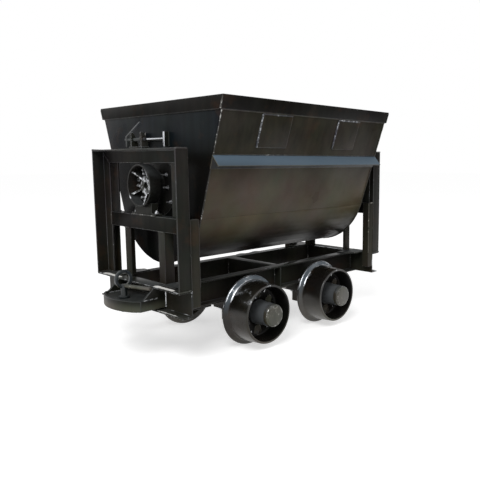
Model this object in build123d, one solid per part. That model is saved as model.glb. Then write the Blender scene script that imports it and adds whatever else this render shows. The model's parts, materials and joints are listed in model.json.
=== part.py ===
from build123d import *
import math
import os

# Axes: X along the track, Y across it, Z up, millimetres, Z = 0 under the wheel flanges.
# The front end is -X and the left side is -Y.

# Wheelsets
WHEELBASE = 540.0
FLANGE_R = 180.0
FLANGE_BACK_Y = 268.0
FLANGE_W = 28.0
FLANGE_BEVEL = 6.0
TREAD_ROOT_R = 157.0
TREAD_OUT_R = 150.0
WHEEL_FACE_Y = 420.0
RIM_T = 13.0
RIM_DISH_R = 128.0
WEB_Y = 318.0
WEB_T = 16.0
HUB_R = 57.0
HUB_BACK_Y = 256.0
HUB_NOSE_Y = 434.0
CAP_R = 57.0
CAP_NOSE_Y = 464.0
CAP_BEVEL = 7.0
AXLE_R = 28.0
AXLE_END_Y = 446.0
WEB_HOLES = 6
WEB_HOLE_R = 24.0
WEB_HOLE_PITCH_R = 94.0

# Axle boxes
BEARING_GAP = 0.4
BOX_FLANGE_X = 115.0
BOX_FLANGE_Z = 190.0
BOX_X = 62.0
BOX_BASE_Z = 112.0
BOX_IN_Y = 122.0
BOX_OUT_Y = 240.0

# Underframe channels
CHANNEL_H = 126.0
CHANNEL_WEB = 6.0
CHANNEL_FLANGE = 8.5
DECK_Z = 365.0
SILL_OUT_Y = 235.0
SILL_W = 53.0
BEAM_BACK_X = 688.0
BEAM_W = 71.0
BEAM_LOW_W = 54.0
STIFFENER_T = 8.0
FRAME_W = 726.0
CORNER_PLATE_T = 6.0
CORNER_PLATE_BACK_X = 560.0
CORNER_PLATE_MID_X = 640.0
CORNER_PLATE_FRONT_X = 730.0
CORNER_PLATE_OUT_Y = 286.0

# Tub
TUB_X = 612.0
TUB_TOP = 1220.0
TUB_PLATE = 6.0
BOTTOM_Z = 785.0
BOTTOM_R = 345.0
LEAN = math.radians(18.6)
BAND_H = 60.0
BAND_T = 6.5
LEDGE_DROP = 252.0
LEDGE_LEG = 65.0
LEDGE_T = 6.0
LEDGE_SLOPE = math.radians(49.0)
PATCH_T = 5.0
PATCH_DROP = 67.0
PATCH_H = 149.0
PATCH_SPANS = [
    (-361.0, -168.0),
    (190.0, 368.0),
]

# Trunnion drums and the saddles that carry them
PIVOT_DROP = 396.0
PIVOT_Z = TUB_TOP - PIVOT_DROP
DRUM_R = 102.0
DRUM_WALL = 8.0
DRUM_BACK_X = 662.0
DRUM_L = 56.0
DRUM_FLOOR = 8.0
DRUM_BOSS_R = 44.0
DRUM_BOSS_BORE = 16.0
DRUM_RIB_T = 9.0
DRUM_RIBS = 5
DRUM_FIRST_RIB = -46.4
DRUM_DISH = 30.0
NECK_R = 72.0
BASE_R = 150.0
BASE_T = 8.0
SADDLE_GAP = 0.3
SADDLE_HALF_Y = 72.0
SADDLE_DROP = 82.0
SADDLE_FOOT_Y = 104.0
SADDLE_FOOT_T = 10.0
SADDLE_L = 37.0

# Cradle: the portal, the rail and the posts at each end
PORTAL_RISE = 173.0
PORTAL_BACK_X = 692.0
PORTAL_LEG = 65.0
PORTAL_T = 8.0
RAIL_DROP = 141.3
RAIL_BACK_X = 645.0
RAIL_H = 70.0
RAIL_T = 9.0
POST_T = 6.0
POST_W = 45.0
RAIL_INSET = 8.0
POST_BASE_Z = 283.0
STOP_T = 8.0
STOP_REACH = 66.0
STOP_SIDE_LAP = 40.0
STOP_TOP_LAP = 12.0
INNER_POST = 50.0
INNER_POST_Y = 173.0
INNER_POST_T = 6.0

# Keepers on the tub
KEEPER_RISE = 254.0
KEEPER_H = 70.0
KEEPER_REACH = 26.0
KEEPER_OUT_Y = 106.0
KEEPER_T = 12.0
KEEPER_BAR_R = 8.0
KEEPER_BAR_X = 627.0

# Locks on the portals
LOCK_X = 738.0
LOCK_PIN_H = 42.0
LOCK_EAR_H = 74.0
LOCK_EAR_T = 12.0
LOCK_EAR_FRONT = 15.0
LOCK_EAR_BACK = 20.0
LOCK_EAR_TOP = 13.0
LOCK_EAR_SLANT_H = 30.0
LOCK_LEFT_Y = -89.0
LOCK_RIGHT_Y = -4.0
LOCK_BASE_T = 8.0
LOCK_BASE_OVER_X = 3.0
LOCK_BASE_OVER_Y = 12.0
LOCK_SHAFT_R = 7.0
LOCK_SHAFT_GAP = 0.5
LOCK_SHAFT_OVER = 10.0
LOCK_ARM_Y = 40.0
LOCK_ARM_T = 12.0
LOCK_ARM = [
    (-8.0, 8.0),
    (-8.0, 58.0),
    (65.0, 130.0),
    (73.0, 121.5),
    (8.0, 56.0),
    (8.0, 8.0),
]

# Bumpers and the coupling pin
BUMPER_TIP_X = 885.0
BUMPER_CORNER_X = 853.0
BUMPER_SHOULDER_X = 828.0
BUMPER_HALF_W = 160.0
BUMPER_CORNER_Y = 132.0
BUMPER_BASE_Z = 255.0
BUMPER_H = 51.0
BUMPER_WALL = 12.0
BUMPER_TRAY = 9.0
BUMPER_PLATE = 9.0
GUSSET_REACH_X = 815.0
PIN_X = 818.0
PIN_R = 15.0
PIN_HOLE_R = 16.0
PIN_BASE_Z = 232.0
PIN_TOP_Z = 362.0
PIN_COLLAR_R = 25.0
PIN_COLLAR_T = 11.0
RING_R = 44.0
RING_BAR = 13.0
RING_Z = 388.0
HANDLE_R = 9.0
HANDLE_Z = 356.0
HANDLE_TIP_X = 773.5
HANDLE_TIP_Y = -158.0

os.makedirs("parts", exist_ok=True)

FRONT = -1
REAR = 1
ENDS = [
    ("front", FRONT),
    ("rear", REAR),
]

deck_low = DECK_Z - CHANNEL_H
sill_in = SILL_OUT_Y - SILL_W
beam_front_x = BEAM_BACK_X + BEAM_W
half_w = FRAME_W / 2
portal_top = PIVOT_Z + PORTAL_RISE
rail_top = PIVOT_Z - RAIL_DROP
wheel_z = FLANGE_R


def box(x0, x1, y0, y1, z0, z1):
    """A block between two corners."""
    mid = Pos((x0 + x1) / 2, (y0 + y1) / 2, (z0 + z1) / 2)
    return mid * Box(abs(x1 - x0), abs(y1 - y0), abs(z1 - z0))


def prism_x(points, x0, x1):
    """An outline in Y and Z, drawn out along X."""
    face = Plane.YZ.offset(x0) * Polygon(*points, align=None)
    return extrude(face, amount=x1 - x0, dir=(1, 0, 0))


def prism_y(points, y0, y1):
    """An outline in X and Z, drawn out along Y."""
    face = Plane.XZ.offset(-y0) * Polygon(*points, align=None)
    return extrude(face, amount=y1 - y0, dir=(0, 1, 0))


def prism_z(points, z0, z1):
    """An outline in X and Y, drawn out along Z."""
    face = Plane.XY.offset(z0) * Polygon(*points, align=None)
    return extrude(face, amount=z1 - z0, dir=(0, 0, 1))


def rod_x(y, z, r, x0, x1):
    """A round bar along X."""
    return Pos((x0 + x1) / 2, y, z) * Rot(0, 90, 0) * Cylinder(r, abs(x1 - x0))


def rod_y(x, z, r, y0, y1):
    """A round bar along Y."""
    return Pos(x, (y0 + y1) / 2, z) * Rot(90, 0, 0) * Cylinder(r, abs(y1 - y0))


def rod_z(x, y, r, z0, z1):
    """A round bar along Z."""
    return Pos(x, y, (z0 + z1) / 2) * Cylinder(r, z1 - z0)


def at_end(shape, end):
    """The front shape as drawn, or turned half round for the rear."""
    if end == FRONT:
        return shape
    return Rot(0, 0, 180) * shape


def mirror_y(shape):
    """The same shape on the other side."""
    return mirror(shape, about=Plane.XZ)


def save(node, *shapes):
    """Write one node, as one solid or as several that stay apart."""
    solids = []
    for shape in shapes:
        solids.extend(shape.solids())
    if len(solids) == 1:
        out = solids[0]
    else:
        out = Compound(children=solids)
    out.label = node
    export_step(out, "parts/" + node + ".step")


# Sills: channels that open outwards, with a stiffener plate at the middle
sill = box(-BEAM_BACK_X, BEAM_BACK_X, sill_in, sill_in + CHANNEL_WEB, deck_low, DECK_Z)
sill = sill + box(
    -BEAM_BACK_X, BEAM_BACK_X, sill_in, SILL_OUT_Y, DECK_Z - CHANNEL_FLANGE, DECK_Z
)
sill = sill + box(
    -BEAM_BACK_X, BEAM_BACK_X, sill_in, SILL_OUT_Y, deck_low, deck_low + CHANNEL_FLANGE
)
sill = sill + box(
    -STIFFENER_T / 2,
    STIFFENER_T / 2,
    sill_in,
    SILL_OUT_Y,
    deck_low + CHANNEL_FLANGE,
    DECK_Z - CHANNEL_FLANGE,
)
save("sill_right", sill)
save("sill_left", mirror_y(sill))

# Middle cross member between the sill webs
cross_half = SILL_W / 2
cross = box(-cross_half, CHANNEL_WEB - cross_half, -sill_in, sill_in, deck_low, DECK_Z)
cross = cross + box(-cross_half, cross_half, -sill_in, sill_in, DECK_Z - CHANNEL_FLANGE, DECK_Z)
cross = cross + box(
    -cross_half, cross_half, -sill_in, sill_in, deck_low, deck_low + CHANNEL_FLANGE
)
save("cross_member", cross)

# Corner plates over the joints of the sills and the end beams
plates = []
for end in (FRONT, REAR):
    for side in (-1, 1):
        outline = [
            (end * CORNER_PLATE_BACK_X, side * sill_in),
            (end * CORNER_PLATE_BACK_X, side * SILL_OUT_Y),
            (end * CORNER_PLATE_MID_X, side * CORNER_PLATE_OUT_Y),
            (end * CORNER_PLATE_FRONT_X, side * CORNER_PLATE_OUT_Y),
            (end * CORNER_PLATE_FRONT_X, side * sill_in),
        ]
        plates.append(prism_z(outline, DECK_Z, DECK_Z + CORNER_PLATE_T))
save("corner_plates", *plates)

stops = []
for name, end in ENDS:
    # End beam: a channel that opens outwards, its top flange wide enough for the portal
    beam = box(-BEAM_BACK_X - CHANNEL_WEB, -BEAM_BACK_X, -half_w, half_w, deck_low, DECK_Z)
    beam = beam + box(
        -beam_front_x, -BEAM_BACK_X, -half_w, half_w, DECK_Z - CHANNEL_FLANGE, DECK_Z
    )
    beam = beam + box(
        -BEAM_BACK_X - BEAM_LOW_W,
        -BEAM_BACK_X,
        -half_w,
        half_w,
        deck_low,
        deck_low + CHANNEL_FLANGE,
    )
    save("end_beam_" + name, at_end(beam, end))

    # Portal: two angle uprights and an angle top beam with mitred corners
    leg_y = half_w - PORTAL_LEG
    leg_z = portal_top - PORTAL_LEG
    leg_x = PORTAL_BACK_X + PORTAL_T
    upright = box(-beam_front_x, -PORTAL_BACK_X, -half_w, PORTAL_T - half_w, DECK_Z, portal_top)
    upright = upright + box(-leg_x, -PORTAL_BACK_X, -half_w, -leg_y, DECK_Z, portal_top)
    top_beam = box(
        -beam_front_x, -PORTAL_BACK_X, -half_w, half_w, portal_top - PORTAL_T, portal_top
    )
    top_beam = top_beam + box(-leg_x, -PORTAL_BACK_X, -half_w, half_w, leg_z, portal_top)
    mitre = 2 * PORTAL_LEG
    above = prism_x(
        [
            (-half_w, portal_top),
            (mitre - half_w, portal_top),
            (mitre - half_w, portal_top - mitre),
        ],
        -beam_front_x - PORTAL_T,
        PORTAL_T - PORTAL_BACK_X,
    )
    below = prism_x(
        [
            (-half_w, portal_top),
            (mitre - half_w, portal_top - mitre),
            (-half_w - PORTAL_T, portal_top - mitre),
            (-half_w - PORTAL_T, portal_top),
        ],
        -beam_front_x - PORTAL_T,
        PORTAL_T - PORTAL_BACK_X,
    )
    upright = upright - above
    top_beam = top_beam - below - mirror_y(below)
    save("portal_uprights_" + name, at_end(upright, end), at_end(mirror_y(upright), end))
    save("portal_top_beam_" + name, at_end(top_beam, end))

    # Cradle rail: an angle across the portal, its flat leg towards the tub
    flat_y = leg_y - RAIL_INSET
    rail = box(-leg_x, -PORTAL_BACK_X, -leg_y, leg_y, rail_top - RAIL_H, rail_top)
    rail = rail + box(-PORTAL_BACK_X, -RAIL_BACK_X, -flat_y, flat_y, rail_top - RAIL_T, rail_top)
    save("cradle_rail_" + name, at_end(rail, end))

    # Rail stops: a plate in each corner, welded behind the portal and standing on the rail
    stop = box(
        -PORTAL_BACK_X,
        STOP_T - PORTAL_BACK_X,
        -leg_y - STOP_SIDE_LAP,
        STOP_REACH - leg_y,
        rail_top,
        leg_z + STOP_TOP_LAP,
    )
    stops.append(at_end(stop, end))
    stops.append(at_end(mirror_y(stop), end))

    # Posts under the rail: an outer angle beside each upright and two inner angles
    outer = box(-PORTAL_BACK_X, -RAIL_BACK_X, -half_w, POST_T - half_w, DECK_Z, rail_top)
    outer = outer + box(
        -BEAM_BACK_X, -RAIL_BACK_X, -half_w, POST_T - half_w, POST_BASE_Z, DECK_Z
    )
    outer = outer + box(
        -RAIL_BACK_X - POST_T, -RAIL_BACK_X, -half_w, POST_W - half_w, POST_BASE_Z, rail_top
    )
    side_leg = INNER_POST_Y - INNER_POST_T
    post = box(
        -leg_x, INNER_POST_T - leg_x, -INNER_POST_Y, INNER_POST - INNER_POST_Y,
        DECK_Z, rail_top - RAIL_H,
    )
    post = post + box(
        -leg_x, INNER_POST - leg_x, -INNER_POST_Y, -side_leg, DECK_Z, rail_top - RAIL_H
    )
    post = post + box(
        -PORTAL_BACK_X, INNER_POST - leg_x, -INNER_POST_Y, -side_leg,
        rail_top - RAIL_H, rail_top - RAIL_T,
    )
    save(
        "cradle_posts_" + name,
        at_end(outer, end),
        at_end(mirror_y(outer), end),
        at_end(post, end),
        at_end(mirror_y(post), end),
    )

    # Saddle: an open bearing block on the rail, under the drum
    saddle_x = DRUM_BACK_X + SADDLE_L
    saddle = box(
        -saddle_x, -DRUM_BACK_X, -SADDLE_HALF_Y, SADDLE_HALF_Y, rail_top, PIVOT_Z - SADDLE_DROP
    )
    saddle = saddle + box(
        -saddle_x, -DRUM_BACK_X, -SADDLE_FOOT_Y, SADDLE_FOOT_Y, rail_top, rail_top + SADDLE_FOOT_T
    )
    saddle = saddle - rod_x(
        0, PIVOT_Z, DRUM_R + SADDLE_GAP, -saddle_x - SADDLE_FOOT_T, SADDLE_FOOT_T - DRUM_BACK_X
    )
    save("cradle_saddle_" + name, at_end(saddle, end))

    # Bumper: a bent wall round a sunk top plate and a bottom plate, with side gussets
    back_x = BEAM_BACK_X + CHANNEL_WEB
    with BuildSketch() as plan:
        with BuildLine():
            Polyline(
                (-BUMPER_CORNER_X, -BUMPER_CORNER_Y),
                (-BUMPER_SHOULDER_X, -BUMPER_HALF_W),
                (-back_x, -BUMPER_HALF_W),
                (-back_x, BUMPER_HALF_W),
                (-BUMPER_SHOULDER_X, BUMPER_HALF_W),
                (-BUMPER_CORNER_X, BUMPER_CORNER_Y),
            )
            ThreePointArc(
                (-BUMPER_CORNER_X, BUMPER_CORNER_Y),
                (-BUMPER_TIP_X, 0),
                (-BUMPER_CORNER_X, -BUMPER_CORNER_Y),
            )
        make_face()
    rim_z = BUMPER_BASE_Z + BUMPER_H
    tray_z = rim_z - BUMPER_TRAY
    room_z = BUMPER_BASE_Z + BUMPER_PLATE
    room_h = tray_z - BUMPER_PLATE - room_z
    core = offset(plan.sketch, amount=-BUMPER_WALL)
    bumper = extrude(Pos(0, 0, BUMPER_BASE_Z) * plan.sketch, amount=BUMPER_H, dir=(0, 0, 1))
    bumper = bumper - extrude(Pos(0, 0, tray_z) * core, amount=BUMPER_H, dir=(0, 0, 1))
    bumper = bumper - extrude(Pos(0, 0, room_z) * core, amount=room_h, dir=(0, 0, 1))
    bumper = bumper - rod_z(-PIN_X, 0, PIN_HOLE_R, BUMPER_BASE_Z - PIN_R, rim_z + PIN_R)
    gusset = prism_y(
        [
            (-back_x, tray_z),
            (-back_x, DECK_Z - CHANNEL_FLANGE),
            (-beam_front_x, DECK_Z - CHANNEL_FLANGE),
            (-GUSSET_REACH_X, rim_z),
            (-GUSSET_REACH_X, tray_z),
        ],
        -BUMPER_HALF_W,
        BUMPER_WALL - BUMPER_HALF_W,
    )
    bumper = bumper + gusset + mirror_y(gusset)
    save("bumper_" + name, at_end(bumper, end))

    # Lock: two ears on the top beam, a cross shaft and a cranked lever
    pin_z = portal_top + LOCK_PIN_H
    ear_front = -LOCK_X - LOCK_EAR_FRONT
    ear_back = LOCK_EAR_BACK - LOCK_X
    bracket = box(
        ear_front - LOCK_BASE_OVER_X,
        ear_back + LOCK_BASE_OVER_X,
        LOCK_LEFT_Y - LOCK_BASE_OVER_Y,
        LOCK_RIGHT_Y + LOCK_BASE_OVER_Y,
        portal_top,
        portal_top + LOCK_BASE_T,
    )
    ear = [
        (ear_front, portal_top),
        (ear_front, portal_top + LOCK_EAR_H),
        (ear_front + LOCK_EAR_TOP, portal_top + LOCK_EAR_H),
        (ear_back, portal_top + LOCK_EAR_SLANT_H),
        (ear_back, portal_top),
    ]
    for y in (LOCK_LEFT_Y, LOCK_RIGHT_Y):
        bracket = bracket + prism_y(ear, y - LOCK_EAR_T / 2, y + LOCK_EAR_T / 2)
    shaft_y0 = LOCK_LEFT_Y - LOCK_SHAFT_OVER
    shaft_y1 = LOCK_ARM_Y + LOCK_ARM_T + LOCK_SHAFT_OVER
    bracket = bracket - rod_y(-LOCK_X, pin_z, LOCK_SHAFT_R + LOCK_SHAFT_GAP, shaft_y0, shaft_y1)
    save("lock_bracket_" + name, at_end(bracket, end))
    arm_outline = [(x - LOCK_X, z + portal_top) for x, z in LOCK_ARM]
    arm = prism_y(arm_outline, LOCK_ARM_Y, LOCK_ARM_Y + LOCK_ARM_T)
    shaft = rod_y(-LOCK_X, pin_z, LOCK_SHAFT_R, shaft_y0, shaft_y1)
    save("lock_lever_" + name, at_end(shaft + arm, end))

save("rail_stops", *stops)

# Coupling pin in the front bumper: a collar on the tray, a ring and a side handle
tray_top = BUMPER_BASE_Z + BUMPER_H - BUMPER_TRAY
pin = rod_z(-PIN_X, 0, PIN_R, PIN_BASE_Z, PIN_TOP_Z)
pin = pin + rod_z(-PIN_X, 0, PIN_COLLAR_R, tray_top, tray_top + PIN_COLLAR_T)
ring = rod_y(-PIN_X, RING_Z, RING_R, -RING_BAR / 2, RING_BAR / 2)
ring = ring - rod_y(-PIN_X, RING_Z, RING_R - RING_BAR, -RING_BAR, RING_BAR)
root = Vector(-PIN_X, 0, HANDLE_Z)
reach = Vector(-HANDLE_TIP_X, HANDLE_TIP_Y, HANDLE_Z) - root
handle = extrude(Plane(origin=root, z_dir=reach) * Circle(HANDLE_R), amount=reach.length)
save("coupling_pin", pin + ring + handle)

# Tub sheets
tan_y = BOTTOM_R * math.cos(LEAN)
tan_z = BOTTOM_Z - BOTTOM_R * math.sin(LEAN)
inner_r = BOTTOM_R - TUB_PLATE
in_y = inner_r * math.cos(LEAN)
in_z = BOTTOM_Z - inner_r * math.sin(LEAN)
plate_x = TUB_X - TUB_PLATE


def side_y(z):
    """Outer face of the leaning side plate, distance from the middle."""
    return tan_y + (z - tan_z) * math.tan(LEAN)


top_y = side_y(TUB_TOP)
in_top_y = in_y + (TUB_TOP - in_z) * math.tan(LEAN)
side = prism_x(
    [(tan_y, tan_z), (top_y, TUB_TOP), (in_top_y, TUB_TOP), (in_y, in_z)], -plate_x, plate_x
)
save("tub_side_right", side)
save("tub_side_left", mirror_y(side))

with BuildSketch(Plane.YZ.offset(-plate_x)) as curl:
    with BuildLine():
        ThreePointArc((-tan_y, tan_z), (0, BOTTOM_Z - BOTTOM_R), (tan_y, tan_z))
        Line((tan_y, tan_z), (in_y, in_z))
        ThreePointArc((in_y, in_z), (0, BOTTOM_Z - inner_r), (-in_y, in_z))
        Line((-in_y, in_z), (-tan_y, tan_z))
    make_face()
save("tub_bottom", extrude(curl.sketch, amount=2 * plate_x, dir=(1, 0, 0)))

with BuildSketch(Plane.YZ.offset(-TUB_X)) as end_shape:
    with BuildLine():
        ThreePointArc((-tan_y, tan_z), (0, BOTTOM_Z - BOTTOM_R), (tan_y, tan_z))
        Polyline((tan_y, tan_z), (top_y, TUB_TOP), (-top_y, TUB_TOP), (-tan_y, tan_z))
    make_face()
end_plate = extrude(end_shape.sketch, amount=TUB_PLATE, dir=(1, 0, 0))

# Rim band round the top of the tub
band_low = TUB_TOP - BAND_H
band_out = BAND_T / math.cos(LEAN)
outer_band = [
    (-side_y(band_low) - band_out, band_low),
    (side_y(band_low) + band_out, band_low),
    (top_y + band_out, TUB_TOP),
    (-top_y - band_out, TUB_TOP),
]
inner_band = [
    (-side_y(band_low - BAND_T), band_low - BAND_T),
    (side_y(band_low - BAND_T), band_low - BAND_T),
    (side_y(TUB_TOP + BAND_T), TUB_TOP + BAND_T),
    (-side_y(TUB_TOP + BAND_T), TUB_TOP + BAND_T),
]
band = prism_x(outer_band, -TUB_X - BAND_T, TUB_X + BAND_T)
save("rim_band", band - prism_x(inner_band, -TUB_X, TUB_X))

# Ledge: a bent plate along each side, one leg on the side plate and one leg out
ledge_z = TUB_TOP - LEDGE_DROP
apex = Vector(side_y(ledge_z), ledge_z)
along = Vector(-math.sin(LEAN), -math.cos(LEAN))
out = Vector(math.cos(LEDGE_SLOPE), -math.sin(LEDGE_SLOPE))
along_n = Vector(math.cos(LEAN), -math.sin(LEAN))
out_n = Vector(-math.sin(LEDGE_SLOPE), -math.cos(LEDGE_SLOPE))
foot = apex + along * LEDGE_LEG
tip = apex + out * LEDGE_LEG
half_bend = math.acos(along.dot(out)) / 2
crook = apex + (along + out).normalized() * (LEDGE_T / math.sin(half_bend))
points = [apex, tip, tip + out_n * LEDGE_T, crook, foot + along_n * LEDGE_T, foot]
ledge = prism_x([(p.X, p.Y) for p in points], -TUB_X, TUB_X)
save("side_ledges", ledge, mirror_y(ledge))

# Patch plates welded on the left side
patches = []
patch_out = PATCH_T / math.cos(LEAN)
patch_high = TUB_TOP - PATCH_DROP
patch_low = patch_high - PATCH_H
for x0, x1 in PATCH_SPANS:
    outline = [
        (-side_y(patch_low), patch_low),
        (-side_y(patch_high), patch_high),
        (-side_y(patch_high) - patch_out, patch_high),
        (-side_y(patch_low) - patch_out, patch_low),
    ]
    patches.append(prism_x(outline, x0, x1))
save("patch_plates", *patches)

keepers = []
for name, end in ENDS:
    save("tub_end_" + name, at_end(end_plate, end))

    # Trunnion: base disc, neck and an open ribbed drum
    drum_front = DRUM_BACK_X + DRUM_L
    floor_x = DRUM_BACK_X + DRUM_FLOOR
    drum = rod_x(0, PIVOT_Z, BASE_R, -TUB_X - BASE_T, -TUB_X)
    drum = drum + rod_x(0, PIVOT_Z, NECK_R, -DRUM_BACK_X, -TUB_X - BASE_T)
    drum = drum + rod_x(0, PIVOT_Z, DRUM_R, -drum_front, -DRUM_BACK_X)
    drum = drum - rod_x(0, PIVOT_Z, DRUM_R - DRUM_WALL, -drum_front - DRUM_WALL, -floor_x)
    rib_front = drum_front - DRUM_WALL
    boss_front = rib_front - DRUM_DISH
    drum = drum + rod_x(0, PIVOT_Z, DRUM_BOSS_R, -boss_front, -floor_x)
    rib_outline = [
        (-floor_x, DRUM_BOSS_R - DRUM_RIB_T / 2),
        (-boss_front, DRUM_BOSS_R - DRUM_RIB_T / 2),
        (-rib_front, DRUM_R - DRUM_WALL / 2),
        (-floor_x, DRUM_R - DRUM_WALL / 2),
    ]
    rib = prism_y(rib_outline, -DRUM_RIB_T / 2, DRUM_RIB_T / 2)
    for k in range(DRUM_RIBS):
        turn = DRUM_FIRST_RIB + 360 / DRUM_RIBS * k
        drum = drum + Pos(0, 0, PIVOT_Z) * Rot(turn, 0, 0) * rib
    drum = drum - rod_x(0, PIVOT_Z, DRUM_BOSS_BORE, -drum_front, -floor_x)
    save("trunnion_" + name, at_end(drum, end))

    # Keeper: two ears and a bar that the lock holds
    keep_z = PIVOT_Z + KEEPER_RISE
    keep_x = TUB_X + KEEPER_REACH
    keep_in = KEEPER_OUT_Y - KEEPER_T
    pair = box(-keep_x, -TUB_X, -KEEPER_OUT_Y, -keep_in, keep_z - KEEPER_H, keep_z)
    pair = pair + mirror_y(pair)
    bar = rod_y(-KEEPER_BAR_X, keep_z - KEEPER_H / 2, KEEPER_BAR_R, -KEEPER_OUT_Y, KEEPER_OUT_Y)
    keepers.append(at_end(pair + bar, end))
save("keepers", *keepers)

# Wheelsets: an axle, two flanged wheels and two hub caps turn together
FLANGE_TOP_Y = FLANGE_BACK_Y + FLANGE_W / 2
PROFILE = [
    (HUB_BACK_Y, AXLE_R),
    (HUB_BACK_Y, HUB_R),
    (WEB_Y, HUB_R),
    (WEB_Y, RIM_DISH_R),
    (FLANGE_BACK_Y, TREAD_ROOT_R - RIM_T),
    (FLANGE_BACK_Y, FLANGE_R - FLANGE_BEVEL),
    (FLANGE_BACK_Y + FLANGE_BEVEL, FLANGE_R),
    (FLANGE_TOP_Y, FLANGE_R),
    (FLANGE_BACK_Y + FLANGE_W, TREAD_ROOT_R),
    (WHEEL_FACE_Y, TREAD_OUT_R),
    (WHEEL_FACE_Y, TREAD_OUT_R - RIM_T),
    (WEB_Y + WEB_T, RIM_DISH_R),
    (WEB_Y + WEB_T, HUB_R),
    (HUB_NOSE_Y, HUB_R),
    (HUB_NOSE_Y, AXLE_R),
]


def wheel_right():
    """The wheel on the +Y side, about the Y axis through the origin."""
    face = Plane.YZ * Polygon(*PROFILE, align=None)
    body = revolve(face, axis=Axis.Y)
    for k in range(WEB_HOLES):
        hole = rod_y(WEB_HOLE_PITCH_R, 0, WEB_HOLE_R, WEB_Y - WEB_T, WEB_Y + 2 * WEB_T)
        body = body - Rot(0, 360 / WEB_HOLES * k + 30, 0) * hole
    return body


def cap_right():
    """The hub cap on the +Y side."""
    outline = [
        (HUB_NOSE_Y, AXLE_R),
        (HUB_NOSE_Y, CAP_R),
        (CAP_NOSE_Y - CAP_BEVEL, CAP_R),
        (CAP_NOSE_Y, CAP_R - CAP_BEVEL),
        (CAP_NOSE_Y, 0),
        (AXLE_END_Y, 0),
        (AXLE_END_Y, AXLE_R),
    ]
    face = Plane.YZ * Polygon(*outline, align=None)
    return revolve(face, axis=Axis.Y)


for name, end in ENDS:
    where = Pos(end * WHEELBASE / 2, 0, wheel_z)
    axle = rod_y(0, 0, AXLE_R, -AXLE_END_Y, AXLE_END_Y)
    save("axle_" + name, where * axle)
    save("wheel_" + name + "_right", where * wheel_right())
    save("wheel_" + name + "_left", where * mirror_y(wheel_right()))
    save("hub_caps_" + name, where * cap_right(), where * mirror_y(cap_right()))

    # Axle boxes under the sills, bored for the axle
    boxes = box(-BOX_FLANGE_X, BOX_FLANGE_X, BOX_IN_Y, BOX_OUT_Y, BOX_FLANGE_Z, deck_low)
    boxes = boxes + box(-BOX_X, BOX_X, BOX_IN_Y, BOX_OUT_Y, BOX_BASE_Z, BOX_FLANGE_Z)
    bore_r = AXLE_R + BEARING_GAP
    boxes = boxes - rod_y(0, wheel_z, bore_r, BOX_IN_Y - AXLE_R, BOX_OUT_Y + AXLE_R)
    boxes = Pos(end * WHEELBASE / 2, 0, 0) * boxes
    save("axle_boxes_" + name, boxes, mirror_y(boxes))
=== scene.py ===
import json
import math

import bmesh
import bpy
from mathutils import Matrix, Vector

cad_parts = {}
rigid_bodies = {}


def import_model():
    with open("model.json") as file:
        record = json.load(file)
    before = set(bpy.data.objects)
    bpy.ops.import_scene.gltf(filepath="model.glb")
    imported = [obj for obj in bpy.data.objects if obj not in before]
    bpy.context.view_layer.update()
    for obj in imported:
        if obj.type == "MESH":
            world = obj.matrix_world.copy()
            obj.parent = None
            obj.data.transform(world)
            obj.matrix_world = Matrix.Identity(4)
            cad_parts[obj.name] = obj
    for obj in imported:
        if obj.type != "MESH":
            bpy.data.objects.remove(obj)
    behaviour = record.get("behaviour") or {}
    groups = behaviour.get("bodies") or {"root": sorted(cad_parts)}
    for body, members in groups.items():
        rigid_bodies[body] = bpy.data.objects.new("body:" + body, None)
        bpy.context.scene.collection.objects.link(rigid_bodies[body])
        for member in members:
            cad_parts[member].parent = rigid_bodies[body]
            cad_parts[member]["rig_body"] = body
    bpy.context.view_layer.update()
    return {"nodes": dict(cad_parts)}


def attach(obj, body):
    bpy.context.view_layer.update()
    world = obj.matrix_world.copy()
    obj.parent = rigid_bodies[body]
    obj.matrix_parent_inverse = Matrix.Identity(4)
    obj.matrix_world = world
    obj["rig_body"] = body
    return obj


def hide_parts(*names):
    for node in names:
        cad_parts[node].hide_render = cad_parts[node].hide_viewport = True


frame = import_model()

# Viewpoint: the cart is seen from its front left corner, with the eye a little above the
# trunnion drums and about 3 metres away.
EYE = (-2.13924, -2.35973, 0.93887)
LOOKING = Vector((0.73830, 0.66165, -0.13087))
camera = bpy.data.objects.new("camera", bpy.data.cameras.new("camera"))
bpy.context.scene.collection.objects.link(camera)
camera.location = EYE
camera.rotation_euler = LOOKING.to_track_quat("-Z", "Y").to_euler()
camera.data.sensor_width = 36.0
camera.data.lens = 41.42
camera.data.shift_x = -0.1432
camera.data.shift_y = -0.0120
bpy.context.scene.camera = camera

# Studio: a pale floor under a white sky, a large soft lamp from the front left and above,
# and a weaker one from the right to open the shadows.


def feed(tree, node, inputs):
    """Gives a node's inputs plain values, or the outputs of other nodes."""
    for key, given in inputs.items():
        if isinstance(given, bpy.types.NodeSocket):
            tree.links.new(given, node.inputs[key])
        else:
            node.inputs[key].default_value = given


def add_node(tree, kind, inputs=None, **settings):
    """A new node with its settings made and its inputs fed."""
    node = tree.nodes.new(kind)
    for key, setting in settings.items():
        setattr(node, key, setting)
    feed(tree, node, inputs or {})
    return node


def calc(tree, operation, *terms, clamp=False):
    """The output of a math node on outputs and plain numbers."""
    inputs = dict(enumerate(terms))
    node = add_node(tree, "ShaderNodeMath", inputs, operation=operation, use_clamp=clamp)
    return node.outputs[0]


def remap(tree, value, low, high, to_low=0.0, to_high=1.0, curve="LINEAR"):
    """The value carried from one range to another, held at its ends."""
    inputs = {"Value": value, "From Min": low, "From Max": high, "To Min": to_low, "To Max": to_high}
    return add_node(tree, "ShaderNodeMapRange", inputs, interpolation_type=curve).outputs["Result"]


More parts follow.
